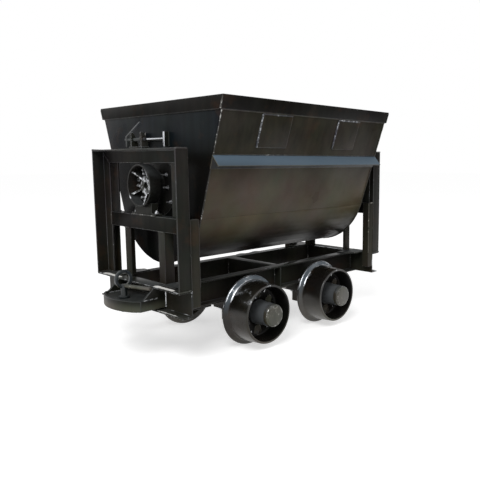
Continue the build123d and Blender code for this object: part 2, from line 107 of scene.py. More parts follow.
def seen_directly(tree):
    """1 for light that reaches the eye at once, by glass or by a gloss; 0 for other light."""
    rays = tree.nodes.new("ShaderNodeLightPath").outputs
    seen = calc(tree, "MAXIMUM", rays["Is Camera Ray"], rays["Is Transmission Ray"])
    return calc(tree, "MAXIMUM", seen, rays["Is Glossy Ray"])


def new_piece(name, mesh):
    """A new object in the scene, for a mesh or a lamp."""
    piece = bpy.data.objects.new(name, mesh)
    bpy.context.scene.collection.objects.link(piece)
    return piece


SKY_LIGHT = 0.50
FLOOR_HALF = 40
FLOOR_WHITE = (0.86, 0.86, 0.86, 1.0)
FLOOR_GLOW = 0.56
sky = bpy.data.worlds.new("white sky")
bpy.context.scene.world = sky
sky.use_nodes = True
feed(sky.node_tree, sky.node_tree.nodes["Background"], {
    "Color": (1.0, 1.0, 1.0, 1.0),
    "Strength": remap(sky.node_tree, seen_directly(sky.node_tree), 0.0, 1.0, SKY_LIGHT, 1.0),
})

floor_mesh = bpy.data.meshes.new("floor")
floor_mesh.from_pydata(
    [(x * FLOOR_HALF, y * FLOOR_HALF, 0) for x, y in ((-1, -1), (1, -1), (1, 1), (-1, 1))],
    [], [(0, 1, 2, 3)],
)
floor = new_piece("floor", floor_mesh)
floor_paint = bpy.data.materials.new("pale floor")
floor_paint.use_nodes = True
floor_tree = floor_paint.node_tree
floor_tree.nodes.remove(floor_tree.nodes["Principled BSDF"])
floor_matt = add_node(floor_tree, "ShaderNodeBsdfDiffuse", {"Color": FLOOR_WHITE})
floor_lift = calc(floor_tree, "MULTIPLY", seen_directly(floor_tree), FLOOR_GLOW)
floor_glow = add_node(floor_tree, "ShaderNodeEmission", {"Strength": floor_lift})
floor_sum = add_node(floor_tree, "ShaderNodeAddShader", {
    0: floor_matt.outputs[0], 1: floor_glow.outputs[0],
})
feed(floor_tree, floor_tree.nodes["Material Output"], {"Surface": floor_sum.outputs[0]})
floor_mesh.materials.append(floor_paint)

LAMPS_FACE = Vector((0, 0, 0.6))
LAMP_SIDE = 2.4
for lamp_name, lamp_place, lamp_watts in [
    ("key lamp", (-3.4, -2.2, 4.4), 150.0),
    ("fill lamp", (3.0, -4.0, 3.4), 30.0),
]:
    lamp = new_piece(lamp_name, bpy.data.lights.new(lamp_name, "AREA"))
    lamp.location = lamp_place
    lamp.rotation_euler = (LAMPS_FACE - lamp.location).to_track_quat("-Z", "Y").to_euler()
    lamp.data.size = LAMP_SIDE
    lamp.data.energy = lamp_watts

bpy.context.scene.view_settings.view_transform = "Standard"

# Sills, cross member and corner plates: rolled channels and flame-cut plate, brushed over
# with gloss black paint. The paint is thin and a little wavy, with dust on what faces up.


def noise(tree, place, scale, detail, roughness=0.5):
    """The outputs of a noise texture."""
    inputs = {"Vector": place, "Scale": scale, "Detail": detail, "Roughness": roughness}
    return add_node(tree, "ShaderNodeTexNoise", inputs).outputs


def mix(tree, share, first, second, data_type="RGBA", blend_type="MIX"):
    """The first value or colour, turned into the second by a share."""
    inputs = {"Factor": share, "A": first, "B": second}
    node = add_node(tree, "ShaderNodeMix", inputs, data_type=data_type, blend_type=blend_type)
    return node.outputs["Result"]


def split(tree, vector):
    """The X, Y and Z of a vector."""
    return add_node(tree, "ShaderNodeSeparateXYZ", {"Vector": vector}).outputs


DUST = (0.055, 0.060, 0.062)
GRIME = (0.046, 0.038, 0.027)
RUST = (0.062, 0.030, 0.015)
film = bpy.data.node_groups.new("brushed paint film", "ShaderNodeTree")
for socket_name, socket_value in [
    ("Paint", (0.014, 0.0135, 0.0125, 1.0)),
    ("Dust and sheen", (*DUST, 1.0)),
    ("Dustiness", 0.5),
    ("Dirt and light", (*GRIME, 1.0)),
    ("Dirt and light amount", 0.5),
    ("Dirt and light top", 1.1),
    ("Dirt and light bottom", 0.5),
    ("Coarseness", 1.0),
    ("Gloss roughness", 0.3),
    ("Shine", 0.18),
    ("Rust", 0.3),
]:
    socket_kind = "NodeSocketFloat" if isinstance(socket_value, float) else "NodeSocketColor"
    socket = film.interface.new_socket(socket_name, in_out="INPUT", socket_type=socket_kind)
    socket.default_value = socket_value
film.interface.new_socket("Color", in_out="OUTPUT", socket_type="NodeSocketColor")
for socket_name in ("Roughness", "Height", "Specular"):
    film.interface.new_socket(socket_name, in_out="OUTPUT", socket_type="NodeSocketFloat")
film_in = film.nodes.new("NodeGroupInput").outputs
film_place = film.nodes.new("ShaderNodeTexCoord").outputs
film_at = film_place["Object"]
film_cloud = noise(film, film_at, 2.4, 4.0)["Fac"]
film_run = add_node(film, "ShaderNodeMapping", {"Vector": film_at, "Scale": (26.0, 26.0, 2.0)})
film_streak = noise(film, film_run.outputs["Vector"], 1.0, 3.0)["Fac"]
film_peel = noise(film, film_at, 150.0, 2.0)["Fac"]
film_bloom = noise(film, film_at, 7.5, 6.0, 0.65)["Fac"]
film_drift = noise(film, film_at, 4.2, 5.0, 0.6)["Color"]
# Dust lies where the face looks up, thicker in some places. On the ledge this same cover is a painted
# reflection of the sky.
film_lies = remap(film, split(film, film_place["Normal"])["Z"], 0.30, 0.62, curve="SMOOTHSTEP")
film_patchy = remap(film, film_cloud, 0.38, 0.68)
film_more = calc(film, "MULTIPLY_ADD", film_in["Dustiness"], 2.0, -1.0)
film_cover = calc(film, "ADD", film_patchy, film_more, clamp=True)
film_dust_and_sheen = calc(film, "MULTIPLY", film_lies, film_cover)
# A tint comes up from below, over paint that runs in faint streaks. On the underframe and castings it
# is grime.
# On the tub's sides, round bottom and wheels the tint is also a painted reflection of the ground, and
# low on the tub's ends it is painted shade.
film_shade = remap(film, film_streak, 0.3, 0.7, 0.72, 1.35)
film_tint = mix(film, 1.0, film_in["Paint"], film_shade, blend_type="MULTIPLY")
film_height = split(film, film_at)["Z"]
film_low = remap(
    film, film_height, film_in["Dirt and light bottom"], film_in["Dirt and light top"], 1.0, 0.0, "SMOOTHSTEP"
)
film_thick = remap(film, film_cloud, 0.3, 0.7, 0.65, 1.25)
film_low_patchy = calc(film, "MULTIPLY", film_low, film_thick)
film_dirt_and_light = calc(film, "MULTIPLY", film_low_patchy, film_in["Dirt and light amount"], clamp=True)
film_low_tinted = mix(film, film_dirt_and_light, film_tint, film_in["Dirt and light"])
# Rust comes through in blooms, and the tone drifts a little from place to place.
film_patch = remap(film, film_bloom, 0.56, 0.74)
film_rusts = calc(film, "MULTIPLY", film_patch, film_in["Rust"], clamp=True)
film_tone = mix(film, 0.34, film_low_tinted, film_drift, blend_type="SOFT_LIGHT")
film_rusty = mix(film, film_rusts, film_tone, (*RUST, 1.0))
# The gloss is uneven, and dust dulls it.
film_dull = remap(film, film_cloud, 0.3, 0.75, -0.06, 0.16)
film_rough = calc(film, "ADD", film_in["Gloss roughness"], film_dull)
film_wave = calc(film, "MULTIPLY_ADD", film_peel, 0.05, film_cloud)
film_worked = remap(film, film_cloud, 0.35, 0.65, 0.35, 1.65)
feed(film, film.nodes.new("NodeGroupOutput"), {
    "Color": mix(film, film_dust_and_sheen, film_rusty, film_in["Dust and sheen"]),
    "Roughness": calc(film, "MULTIPLY_ADD", film_dust_and_sheen, 0.35, film_rough),
    "Height": calc(film, "MULTIPLY", film_wave, film_in["Coarseness"]),
    "Specular": calc(film, "MULTIPLY", film_worked, film_in["Shine"]),
})

# Paint is rubbed off in small patches, more of them in some places.
rub = bpy.data.node_groups.new("rubbed to bare steel", "ShaderNodeTree")
for socket_name, socket_value in [("Amount", 0.5), ("Patch size", 30.0)]:
    socket = rub.interface.new_socket(socket_name, in_out="INPUT", socket_type="NodeSocketFloat")
    socket.default_value = socket_value
rub.interface.new_socket("Bare", in_out="OUTPUT", socket_type="NodeSocketFloat")
rub_in = rub.nodes.new("NodeGroupInput").outputs
rub_at = rub.nodes.new("ShaderNodeTexCoord").outputs["Object"]
rub_large = noise(rub, rub_at, 5.0, 2.0)["Fac"]
rub_small = noise(rub, rub_at, rub_in["Patch size"], 4.0, 0.7)["Fac"]
rub_both = calc(rub, "MULTIPLY_ADD", rub_large, 0.6, rub_small)
rub_above = calc(rub, "SUBTRACT", rub_both, calc(rub, "SUBTRACT", 1.22, rub_in["Amount"]))
feed(rub, rub.nodes.new("NodeGroupOutput"), {
    "Bare": calc(rub, "MULTIPLY", rub_above, 9.0, clamp=True),
})
BRUSHED_DEPTH = 0.004
BARE_ROUGHNESS = 0.38


def painted(
    name, paint, gloss, coarseness, dustiness, bare=None, amount=0.0, patch_size=30.0,
    dust_and_sheen=DUST, dirt_and_light=0.0, dirt_and_light_top=0.5, dirt_and_light_bottom=0.1, shine=0.18, dirt_and_light_colour=GRIME,
    rust=0.3, metal=True,
):
    """Paint over steel. What it is rubbed through to is bare metal, or chalky if metal is false.

    The amount rubbed off is a share, or a function that gives it in the finish's own nodes.
    """
    finish = bpy.data.materials.new(name)
    finish.use_nodes = True
    tree = finish.node_tree
    coat = add_node(tree, "ShaderNodeGroup", {
        "Paint": (*paint, 1.0), "Gloss roughness": gloss, "Coarseness": coarseness,
        "Dustiness": dustiness, "Dust and sheen": (*dust_and_sheen, 1.0), "Dirt and light": (*dirt_and_light_colour, 1.0),
        "Dirt and light amount": dirt_and_light, "Dirt and light top": dirt_and_light_top, "Dirt and light bottom": dirt_and_light_bottom,
        "Shine": shine, "Rust": rust,
    }, node_tree=film).outputs
    bump = add_node(tree, "ShaderNodeBump", {
        "Distance": BRUSHED_DEPTH, "Strength": 0.5, "Height": coat["Height"],
    })
    seen = {
        "Base Color": coat["Color"], "Roughness": coat["Roughness"],
        "Specular IOR Level": coat["Specular"], "Normal": bump.outputs["Normal"],
    }
    if bare:
        share = amount(tree) if callable(amount) else amount
        rubbed = add_node(
            tree, "ShaderNodeGroup", {"Amount": share, "Patch size": patch_size}, node_tree=rub
        ).outputs["Bare"]
        seen["Base Color"] = mix(tree, rubbed, coat["Color"], (*bare, 1.0))
        seen["Roughness"] = mix(tree, rubbed, coat["Roughness"], BARE_ROUGHNESS, "FLOAT")
        if metal:
            seen["Metallic"] = rubbed
    feed(tree, tree.nodes["Principled BSDF"], seen)
    return finish


BLACK = (0.0135, 0.0134, 0.0112)
THIN_BLACK = (0.030, 0.030, 0.030)
BARE_STEEL = (0.26, 0.27, 0.29)
body_black = painted(
    "gloss black on plate", BLACK, 0.30, 1.0, 0.45,
    dirt_and_light=0.9, dirt_and_light_top=0.45, dirt_and_light_bottom=0.05, shine=0.05, dirt_and_light_colour=(0.040, 0.034, 0.024),
)
edge_black = painted(
    "black rubbed at edges", THIN_BLACK, 0.30, 0.4, 0.3, BARE_STEEL, 0.26, 34.0, shine=0.3
)
MERGE_WITHIN = 0.00002
FLAT_WITHIN = math.radians(0.5)
SHARP_FROM = math.radians(32.0)


def settle(piece):
    """Turns what the piece's modifiers make of it into its own mesh."""
    piece.update_tag()
    bpy.context.view_layer.update()
    ready = piece.evaluated_get(bpy.context.evaluated_depsgraph_get())
    piece.data = bpy.data.meshes.new_from_object(ready)
    piece.modifiers.clear()


def plate_work(node, rounding, faces=body_black, edges=edge_black, rubbed_places=None):
    """The CAD piece with its edges rounded off as rolled or cut steel has them, and rubbed there."""
    rough_cut = frame["nodes"][node]
    shape = bmesh.new()
    shape.from_mesh(rough_cut.data)
    bmesh.ops.remove_doubles(shape, verts=shape.verts, dist=MERGE_WITHIN)
    bmesh.ops.dissolve_limit(
        shape, angle_limit=FLAT_WITHIN, verts=shape.verts, edges=shape.edges
    )
    for face in shape.faces:
        face.smooth = True
        face.material_index = 0
    mesh = bpy.data.meshes.new(node)
    shape.to_mesh(mesh)
    shape.free()
    mesh.materials.append(faces)
    mesh.materials.append(edges)
    piece = new_piece(node + "_finished", mesh)
    arris = piece.modifiers.new("rounded arris", "BEVEL")
    arris.width = rounding
    arris.segments = 2
    arris.limit_method = "ANGLE"
    arris.angle_limit = SHARP_FROM
    arris.material = 1
    arris.harden_normals = True
    arris.use_clamp_overlap = True
    settle(piece)
    if rubbed_places:
        for face in piece.data.polygons:
            face.material_index = 1 if rubbed_places(face.center, face.normal) else 0
    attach(piece, rough_cut["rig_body"])
    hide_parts(node)
    return piece


for node in ("sill_left", "sill_right", "cross_member"):
    plate_work(node, 0.0022)
plate_work("corner_plates", 0.0012)

# Weld beads on the underframe: stick welding in short runs, a ripple every 9 millimetres,
# painted over and rubbed through in small patches.


def growing_tree(name, inputs):
    """A geometry node tree with its sockets, and the keys of its inputs on a modifier."""
    tree = bpy.data.node_groups.new(name, "GeometryNodeTree")
    sockets = tree.interface
    sockets.new_socket("Geometry", in_out="INPUT", socket_type="NodeSocketGeometry")
    keys = []
    for key, kind in inputs:
        keys.append(sockets.new_socket(key, in_out="INPUT", socket_type=kind).identifier)
    sockets.new_socket("Geometry", in_out="OUTPUT", socket_type="NodeSocketGeometry")
    return tree, keys


def grow(piece, tree, keys, values):
    """Grows a piece's mesh by a geometry node tree."""
    layer = piece.modifiers.new(tree.name, "NODES")
    layer.node_group = tree
    for key, value in zip(keys, values):
        layer[key] = value
    settle(piece)


def finish_tree(tree, shape, finish):
    """Ends a geometry node tree: real meshes, with their finish."""
    real = add_node(tree, "GeometryNodeRealizeInstances", {"Geometry": shape})
    coated = add_node(tree, "GeometryNodeSetMaterial", {
        "Geometry": real.outputs["Geometry"], "Material": finish,
    })
    feed(tree, tree.nodes.new("NodeGroupOutput"), {"Geometry": coated.outputs["Geometry"]})


BEAD_STEP = 0.003
BEAD_SIDES = 8
BEAD_RIPPLE = 0.009
bead_tree, bead_keys = growing_tree("weld bead", [
    ("Size", "NodeSocketFloat"), ("Ripple", "NodeSocketFloat"), ("Finish", "NodeSocketMaterial"),
])
bead_in = bead_tree.nodes.new("NodeGroupInput").outputs
bead_run = add_node(bead_tree, "GeometryNodeMeshToCurve", {"Mesh": bead_in["Geometry"]})
bead_step = add_node(bead_tree, "GeometryNodeResampleCurve", {
    "Curve": bead_run.outputs["Curve"], "Length": BEAD_STEP,
}, mode="LENGTH")
bead_along = bead_tree.nodes.new("GeometryNodeSplineParameter").outputs["Length"]
bead_turn = calc(bead_tree, "DIVIDE", bead_along, bead_in["Ripple"])
# A bead swells and shrinks by a seventh at each ripple, and unevenly along its run.
bead_wave = calc(bead_tree, "SINE", calc(bead_tree, "MULTIPLY", bead_turn, 2 * math.pi))
bead_uneven = add_node(bead_tree, "ShaderNodeTexNoise", {"Scale": 22.0}).outputs["Fac"]
bead_spread = calc(bead_tree, "ADD", bead_uneven, 0.5)
bead_grow = calc(bead_tree, "MULTIPLY_ADD", bead_wave, 0.14, bead_spread)
bead_round = add_node(bead_tree, "GeometryNodeCurvePrimitiveCircle", {
    "Radius": bead_in["Size"], "Resolution": BEAD_SIDES,
})
bead_solid = add_node(bead_tree, "GeometryNodeCurveToMesh", {
    "Curve": bead_step.outputs["Curve"], "Profile Curve": bead_round.outputs["Curve"],
    "Scale": bead_grow, "Fill Caps": True,
})
bead_smooth = add_node(bead_tree, "GeometryNodeSetShadeSmooth", {
    "Geometry": bead_solid.outputs["Mesh"],
})
finish_tree(bead_tree, bead_smooth.outputs["Geometry"], bead_in["Finish"])


def weld_finish(name, paint, gloss, dustiness, bare, amount, patch_size=70.0):
    """Paint over a weld bead, rubbed through in small patches."""
    return painted(name, paint, gloss, 1.4, dustiness, bare, amount, patch_size)


weld_black = weld_finish("weld bead", (0.032, 0.031, 0.028), 0.36, 0.3, (0.36, 0.355, 0.34), 0.34)
weld_dull = weld_finish(
    "weld bead under paint", (0.020, 0.019, 0.016), 0.36, 0.4, (0.20, 0.19, 0.165), 0.10
)
weld_tan = weld_finish("weld bead rusty", (0.060, 0.056, 0.046), 0.40, 0.4, (0.36, 0.35, 0.31), 0.34)
# Lighter and bluer than the other beads: partly a painted highlight.
weld_patch_highlit = weld_finish(
    "weld bead on patches, highlit", (0.044, 0.045, 0.049), 0.34, 0.3, (0.34, 0.35, 0.37), 0.42
)
weld_smooth = weld_finish("ground seam", (0.062, 0.056, 0.045), 0.40, 0.4, (0.26, 0.25, 0.22), 0.10)
weld_bright = weld_finish(
    "weld bead left bare", (0.030, 0.030, 0.030), 0.36, 0.3, (0.62, 0.63, 0.65), 0.54, 80.0
)


def weld(name, runs, size, body, finish):
    """Weld beads along polylines given in millimetres."""
    points = []
    joins = []
    for run in runs:
        start = len(points)
        points += [(x / 1000, y / 1000, z / 1000) for x, y, z in run]
        joins += [(start + k, start + k + 1) for k in range(len(run) - 1)]
    mesh = bpy.data.meshes.new(name)
    mesh.from_pydata(points, joins, [])
    piece = new_piece(name, mesh)
    grow(piece, bead_tree, bead_keys, [size / 1000, BEAD_RIPPLE, finish])
    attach(piece, body)


FRONT, REAR = -1, 1
CORNERS = [(FRONT, -1), (FRONT, 1), (REAR, -1), (REAR, 1)]
BOTH_ENDS = [(FRONT, 1), (REAR, 1)]
BOTH_SIDES = [(REAR, -1), (REAR, 1)]


def repeated(runs, places=CORNERS):
    """Weld runs drawn in millimetres for the rear right corner, set at each of the places."""
    return [[(end * x, side * y, z) for x, y, z in run] for end, side in places for run in runs]


# Planes in which the beads lie, in millimetres, each just off its plate.
BEAM_BACK = 687
DECK = 366
SILL_WEB_OUT, SILL_WEB_IN = 190, 181
sill_runs = repeated([
    [(BEAM_BACK, SILL_WEB_OUT, 250), (BEAM_BACK, SILL_WEB_OUT, 354)],
    [(BEAM_BACK, SILL_WEB_IN, 242), (BEAM_BACK, SILL_WEB_IN, 362)],
    [(561, 186, DECK), (561, 234, DECK)],
    [(562, 236, DECK), (640, 287, DECK), (686, 287, DECK)],
])
sill_runs += repeated([
    [(-5, SILL_WEB_OUT, 249), (-5, SILL_WEB_OUT, 355)],
    [(5, SILL_WEB_OUT, 249), (5, SILL_WEB_OUT, 355)],
    [(-27, SILL_WEB_IN, 240), (-27, SILL_WEB_IN, 364)],
    [(-19, SILL_WEB_IN, 249), (-19, SILL_WEB_IN, 355)],
], BOTH_SIDES)
weld("sill_welds", sill_runs, 3.2, "frame", weld_black)

# End beams: the same black channel with a wide top flange, where boots and couplings rub it.
# The uprights, bumper and cradle posts are welded to it.
MOST_KNOCKED_OFF = 0.80


def knocked_off(tree):
    """The share of paint lost on a beam's top: along its outer edge, beside the bumper."""
    place = tree.nodes.new("ShaderNodeTexCoord").outputs
    at = split(tree, place["Object"])
    out = calc(tree, "ABSOLUTE", at["X"])
    across = calc(tree, "ABSOLUTE", at["Y"])
    share = 1.0
    # Columns: a value, where the paint is whole, and where most of it is off.
    for value, low, high in [
        (out, 0.722, 0.740),
        (across, 0.120, 0.170),
        (across, 0.345, 0.290),
        (split(tree, place["Normal"])["Z"], 0.80, 0.95),
    ]:
        share = calc(tree, "MULTIPLY", share, remap(tree, value, low, high))
    return calc(tree, "MULTIPLY", share, MOST_KNOCKED_OFF)


flange_black = painted(
    "black rubbed on the beam", THIN_BLACK, 0.30, 0.4, 0.3, (0.62, 0.64, 0.66), 0.46, 20.0
)
beam_black = painted(
    "black knocked off to chalky primer", BLACK, 0.30, 1.0, 0.45, (0.80, 0.79, 0.76), knocked_off, 38.0,
    dirt_and_light=0.9, dirt_and_light_top=0.45, dirt_and_light_bottom=0.05, shine=0.05, dirt_and_light_colour=(0.040, 0.034, 0.024),
    metal=False,
)
for end_name in ("front", "rear"):
    plate_work("end_beam_" + end_name, 0.0022, faces=beam_black, edges=flange_black)

# Portals: angle uprights under a mitred angle, the frame that carries the lock and steadies
# the tub. Butt welds close the mitres, fillet welds hold the feet.
for end_name in ("front", "rear"):
    plate_work("portal_uprights_" + end_name, 0.0024)
    plate_work("portal_top_beam_" + end_name, 0.0024)
PORTAL_TOP = 996
weld("portal_welds", repeated([
    [(700.6, 361, PORTAL_TOP - 1), (700.6, 299, 933)],
    [(758, 362, PORTAL_TOP), (701, 362, PORTAL_TOP)],
    [(757, 364, DECK), (694, 364, DECK)],
    [(757, 354, DECK), (701, 354, DECK)],
    [(701.5, 353, DECK), (701.5, 300, DECK)],
]), 3.4, "frame", weld_black)

# Cradles: an angle rail across each portal on four posts, with an open saddle block in the
# middle that carries the tub's trunnion drum and a stop plate in each corner.
post_black = painted(
    "black on the posts", (0.0200, 0.0190, 0.0145), 0.32, 1.0, 0.5,
    dirt_and_light=0.8, dirt_and_light_top=0.60, dirt_and_light_bottom=0.05, shine=0.05, dirt_and_light_colour=(0.040, 0.035, 0.025),
)
rail_black = painted("black on the rails", (0.0085, 0.0084, 0.0072), 0.30, 1.0, 0.4, shine=0.03)
for end_name in ("front", "rear"):
    plate_work("cradle_rail_" + end_name, 0.0024, faces=rail_black)
    plate_work("cradle_posts_" + end_name, 0.0018, faces=post_black)
    plate_work("cradle_saddle_" + end_name, 0.0016)
plate_work("rail_stops", 0.0016)
RAIL_TOP = 684
weld("cradle_welds", repeated([
    [(701.5, 297.5, 615), (701.5, 297.5, 681)],
    [(690, 291, RAIL_TOP - 0.6), (647, 291, RAIL_TOP - 0.6)],
    [(700, 174.5, DECK), (652, 174.5, DECK)],
    [(701, 172, DECK), (701, 124, DECK)],
    [(701, 172, 613), (701, 124, 613)],
]) + repeated([
    [(700, -103, RAIL_TOP), (700, 103, RAIL_TOP)],
    [(661, -103, RAIL_TOP), (661, 103, RAIL_TOP)],
], BOTH_ENDS), 3.2, "frame", weld_black)

# The beads up the posts' corners have gone rusty, but the front left ones were painted again.
POST_BEADS = ((372, 520), (532, 680))
outer_beads = [[(692, 363.5, low), (692, 363.5, high)] for low, high in POST_BEADS]
corner_beads = [
    [(x, y, low), (x, y, high)] for low, high in POST_BEADS for x, y in ((645.5, 362.5), (690, 355.5))
] + [[(690, 361, RAIL_TOP - 1), (652, 361, RAIL_TOP - 1)]]
painted_beads = repeated(outer_beads) + repeated(corner_beads, CORNERS[:1])
weld("post_welds", painted_beads, 2.6, "frame", weld_dull)
weld("post_corner_welds", repeated(corner_beads, CORNERS[1:]), 3.8, "frame", weld_tan)

# Bolts of the frame: hexagon screws with washers through the saddle feet and the axle box
# flanges. Their corners are rubbed bright by the spanner.
bolt_tree, bolt_keys = growing_tree("hexagon bolt", [
    ("Width", "NodeSocketFloat"), ("Stud", "NodeSocketFloat"), ("Finish", "NodeSocketMaterial"),
])
bolt_in = bolt_tree.nodes.new("NodeGroupInput").outputs
bolt_join = bolt_tree.nodes.new("GeometryNodeJoinGeometry")
# Radius, depth and height of the lower face are shares of the width across the head.
for part_name, part_sides, part_radius, part_depth, part_low in [
    ("washer", 20, 0.62, 0.14, 0.0),
    ("head", 6, 0.56, 0.42, 0.14),
    ("crown", 18, 0.44, 0.05, 0.56),
    ("screw end", 12, 0.27, 0.0, 0.61),
]:
    depth = calc(bolt_tree, "MULTIPLY", bolt_in["Width"], part_depth)
    middle = calc(bolt_tree, "MULTIPLY", bolt_in["Width"], part_low + part_depth / 2)
    if part_name == "screw end":
        depth = bolt_in["Stud"]
        middle = calc(bolt_tree, "MULTIPLY_ADD", depth, 0.5, middle)
    turned = add_node(bolt_tree, "GeometryNodeMeshCylinder", {
        "Vertices": part_sides, "Depth": depth,
        "Radius": calc(bolt_tree, "MULTIPLY", bolt_in["Width"], part_radius),
    })
    raised = add_node(bolt_tree, "ShaderNodeCombineXYZ", {"Z": middle})
    moved = add_node(bolt_tree, "GeometryNodeTransform", {
        "Geometry": turned.outputs["Mesh"], "Translation": raised.outputs["Vector"],
    })
    feed(bolt_tree, bolt_join, {"Geometry": moved.outputs["Geometry"]})
bolt_way = add_node(
    bolt_tree, "GeometryNodeInputNamedAttribute", {"Name": "way"}, data_type="FLOAT_VECTOR"
)
bolt_stand = add_node(
    bolt_tree, "FunctionNodeAlignRotationToVector", {"Vector": bolt_way.outputs["Attribute"]}, axis="Z"
)
bolt_set = add_node(bolt_tree, "GeometryNodeInstanceOnPoints", {
    "Points": bolt_in["Geometry"], "Instance": bolt_join.outputs["Geometry"],
    "Rotation": bolt_stand.outputs["Rotation"],
})
finish_tree(bolt_tree, bolt_set.outputs["Instances"], bolt_in["Finish"])
bolt_black = painted("bolt", (0.030, 0.030, 0.031), 0.30, 0.6, 0.4, (0.60, 0.61, 0.63), 0.58, 70.0)


def bolts(name, places, width, stud, body):
    """Bolts at places in millimetres, each with the way its head points; stud is the free thread."""
    mesh = bpy.data.meshes.new(name)
    mesh.from_pydata([tuple(c / 1000 for c in place) for place, way in places], [], [])
    ways = mesh.attributes.new("way", "FLOAT_VECTOR", "POINT")
    for k, (place, way) in enumerate(places):
        ways.data[k].vector = way
    piece = new_piece(name, mesh)
    grow(piece, bolt_tree, bolt_keys, [width / 1000, stud / 1000, bolt_black])
    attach(piece, body)


AXLE_X = 270
AXLE_Z = 180
BOX_BOLT_X = 92
UP, DOWN = (0, 0, 1), (0, 0, -1)
frame_bolts = []
for end, side in CORNERS:
    frame_bolts.append(((end * 680, side * 88, 692.5), UP))
    for x in (end * AXLE_X - BOX_BOLT_X, end * AXLE_X + BOX_BOLT_X):
        frame_bolts.append(((x, side * 213, 247.6), UP))
        frame_bolts.append(((x, side * 150, 189.8), DOWN))
bolts("frame_bolts", frame_bolts, 18, 4, "frame")

# Axle boxes: plain castings bolted under the sills, rough from the sand and painted black.
# Grit and grease leave them duller than the plate.
cast_black = painted("black on casting", (0.0120, 0.0115, 0.0110), 0.38, 2.4, 0.6, dirt_and_light=0.6)
cast_edge = painted("casting rubbed at edges", THIN_BLACK, 0.38, 1.5, 0.5, BARE_STEEL, 0.40, 40.0)
for end_name in ("front", "rear"):
    plate_work("axle_boxes_" + end_name, 0.004, faces=cast_black, edges=cast_edge)

# Wheels: one casting each, with a worn tread, a flange, a dished web with six openings and a
# long hub. Treads and flanges are polished by the rail, the rest is painted. The polish shows only high
# up, as a painted highlight.
# Columns: distance out along the axle and radius in millimetres, share of paint rubbed off.
WHEEL_PROFILE = [
    (256.0, 30.0, 0.0), (256.0, 54.5, 0.0), (258.5, 57.0, 0.0), (310.0, 57.0, 0.0), (318.0, 63.0, 0.0),
    (318.0, 122.0, 0.0), (314.0, 130.0, 0.0), (270.5, 143.0, 0.1), (268.0, 146.0, 0.2),
    (268.0, 172.0, 0.1), (269.4, 177.0, 0.4), (273.0, 179.7, 0.95), (278.0, 179.9, 0.95),
    (282.6, 178.0, 0.5), (286.0, 173.5, 0.32), (291.0, 162.5, 0.34), (294.5, 158.5, 0.62),
    (300.0, 156.8, 0.44), (312.0, 156.0, 0.28), (360.0, 153.4, 0.25), (412.0, 150.4, 0.24),
    (417.5, 149.3, 0.22), (420.0, 146.8, 0.34), (420.0, 140.5, 0.24), (418.0, 138.0, 0.1),
    (345.0, 130.0, 0.0), (337.0, 125.0, 0.0), (334.0, 118.0, 0.0), (334.0, 72.0, 0.0),
    (338.0, 65.0, 0.0), (350.0, 61.0, 0.0), (380.0, 58.5, 0.1), (434.0, 57.0, 0.2),
    (434.0, 29.0, 0.0),
]
WHEEL_STEPS = 96
HUB_FROM_Y, HUB_TOP_R = 345.0, 62.0
FLANGE_FACE_IN_Y, FLANGE_FACE_OUT_Y, FLANGE_FACE_R = 281.0, 293.0, 160.0
DISH_FROM_Y, DISH_LOW_R, DISH_TOP_R = 333.0, 60.0, 139.0
# The web's openings, in metres, with places measured out along the axle.
WEB_OPENINGS = 6
OPENING_TURN = 360 / WEB_OPENINGS
OPENING_PITCH_R = 0.094
OPENING_R = 0.024
OPENING_STEPS = 28
OPENING_ROUNDING = 0.003
OPENING_EDGE_R = 0.0285
OPENING_RUBBED_AND_LIT = 0.38
WEB_MIDDLE = 0.326
WEB_FACE = 0.36
CORE_HALF = 0.03
AXLE_OUT, AXLE_UP = AXLE_X / 1000, AXLE_Z / 1000
wheel_paint = bpy.data.materials.new("wheel casting")
wheel_paint.use_nodes = True
wheel_tree = wheel_paint.node_tree
wheel_worn, wheel_hub_sheen, wheel_flange_sheen_mask, wheel_dish_shade = [
    add_node(wheel_tree, "ShaderNodeAttribute", attribute_name=name).outputs["Fac"]
    for name in ("worn", "hub", "flange sheen", "dish")
]
# The coat turns brown towards the bottom: mud, and a painted reflection of the ground. It is kept thin
# in the dish.
wheel_coat = add_node(wheel_tree, "ShaderNodeGroup", {
    "Paint": (0.0068, 0.0062, 0.0048, 1.0), "Gloss roughness": 0.22, "Shine": 0.42,
    "Coarseness": 2.0, "Dustiness": 0.15, "Dust and sheen": (0.042, 0.041, 0.034, 1.0),
    "Dirt and light": (0.070, 0.060, 0.040, 1.0), "Dirt and light top": 0.24, "Dirt and light bottom": 0.0,
    "Dirt and light amount": calc(wheel_tree, "MULTIPLY_ADD", wheel_dish_shade, -0.6, 0.7),
}, node_tree=film).outputs
# The rail's polish, the flange's blue sheen and the rims of the openings show only high on the wheel:
# painted highlights.
wheel_at = wheel_tree.nodes.new("ShaderNodeTexCoord").outputs["Object"]
wheel_lit_top = remap(wheel_tree, split(wheel_tree, wheel_at)["Z"], 0.17, 0.28, 0.04, 1.0, "SMOOTHSTEP")
wheel_bare = add_node(wheel_tree, "ShaderNodeGroup", {
    "Patch size": 26.0, "Amount": calc(wheel_tree, "MULTIPLY", wheel_worn, wheel_lit_top),
}, node_tree=rub).outputs["Bare"]
# The flange's outer face turns blue-grey high up: a painted reflection of the sky.
wheel_sheen = calc(wheel_tree, "MULTIPLY", wheel_flange_sheen_mask, wheel_lit_top)
wheel_colour = mix(wheel_tree, wheel_sheen, wheel_coat["Color"], (0.060, 0.078, 0.096, 1.0))
# The dished web is darkened and its gloss lowered: painted shade in the recess.
dish_shade_share = calc(wheel_tree, "MULTIPLY", wheel_dish_shade, 0.6)
wheel_colour = mix(wheel_tree, dish_shade_share, wheel_colour, (0.0020, 0.0020, 0.0024, 1.0))
